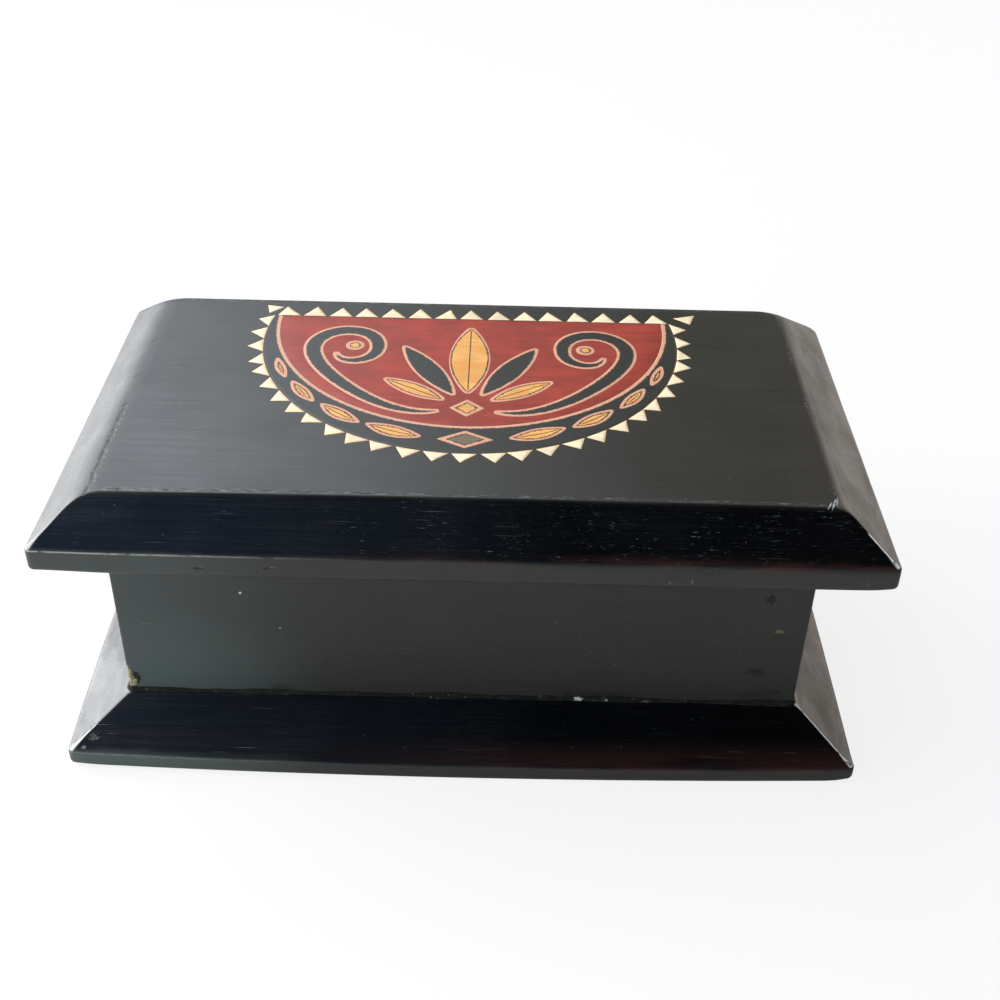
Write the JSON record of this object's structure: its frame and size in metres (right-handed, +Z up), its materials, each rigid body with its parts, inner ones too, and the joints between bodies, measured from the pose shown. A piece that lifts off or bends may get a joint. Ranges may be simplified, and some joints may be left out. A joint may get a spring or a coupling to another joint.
{
  "type": "trinket box",
  "caption": "Black lacquered wooden trinket box: overhanging bevelled lid hinged at the back, matching bevelled base, inlaid half-round medallion ringed with saw teeth.",
  "frame": {"origin": "middle of the flat underside of the base, where the box rests", "axes": "+Z up, +X to the right seen from the front, the front faces -Y and the hinges are at +Y"},
  "size_m": [0.2, 0.1174, 0.0784],
  "materials": {
    "black_lacquer": "satin black lacquer over open-pored wood",
    "red_veneer": "red-stained veneer, satin",
    "ochre_veneer": "ochre veneer, satin",
    "cream_veneer": "cream veneer, satin",
    "brown_veneer": "grey-brown veneer, satin",
    "hinge_brass": "satin, lightly tarnished",
    "screw_steel": "satin"
  },
  "bodies": {
    "carcass": {"base_board": "black_lacquer", "front_wall": "black_lacquer", "back_wall": "black_lacquer", "left_wall": "black_lacquer", "right_wall": "black_lacquer", "base_screw_front_left": "screw_steel", "base_screw_front_right": "screw_steel", "base_screw_back_left": "screw_steel", "base_screw_back_right": "screw_steel", "wall_leaf_left": "hinge_brass", "wall_leaf_right": "hinge_brass", "hinge_pin_left": "hinge_brass", "hinge_pin_right": "hinge_brass", "wall_screw_left_1": "hinge_brass", "wall_screw_left_2": "hinge_brass", "wall_screw_right_1": "hinge_brass", "wall_screw_right_2": "hinge_brass"},
    "lid": {"lid_board": "black_lacquer", "lid_leaf_left": "hinge_brass", "lid_leaf_right": "hinge_brass", "lid_screw_left_1": "hinge_brass", "lid_screw_left_2": "hinge_brass", "lid_screw_right_1": "hinge_brass", "lid_screw_right_2": "hinge_brass", "red_field": "red_veneer", "dark_band": "black_lacquer", "petal_middle": "ochre_veneer", "petal_inner_left": "black_lacquer", "petal_inner_right": "black_lacquer", "petal_outer_left": "ochre_veneer", "petal_outer_right": "ochre_veneer", "palmette_foot": "ochre_veneer", "scroll_left": "black_lacquer", "scroll_right": "black_lacquer", "eye_left": "ochre_veneer", "eye_right": "ochre_veneer", "leaf_left_1": "ochre_veneer", "leaf_left_2": "ochre_veneer", "leaf_left_3": "ochre_veneer", "leaf_left_4": "ochre_veneer", "leaf_right_1": "ochre_veneer", "leaf_right_2": "ochre_veneer", "leaf_right_3": "ochre_veneer", "leaf_right_4": "ochre_veneer", "band_lozenge": "brown_veneer", "tooth_border": "cream_veneer", "lone_tooth_left": "cream_veneer", "lone_tooth_right": "cream_veneer"}
  },
  "joints": [
    {"name": "lid_hinge", "type": "hinge", "parent": "carcass", "child": "lid", "pos_m": [0, 0.047, 0.0627], "axis": [-1, 0, 0], "range_deg": [0, 95]}
  ]
}
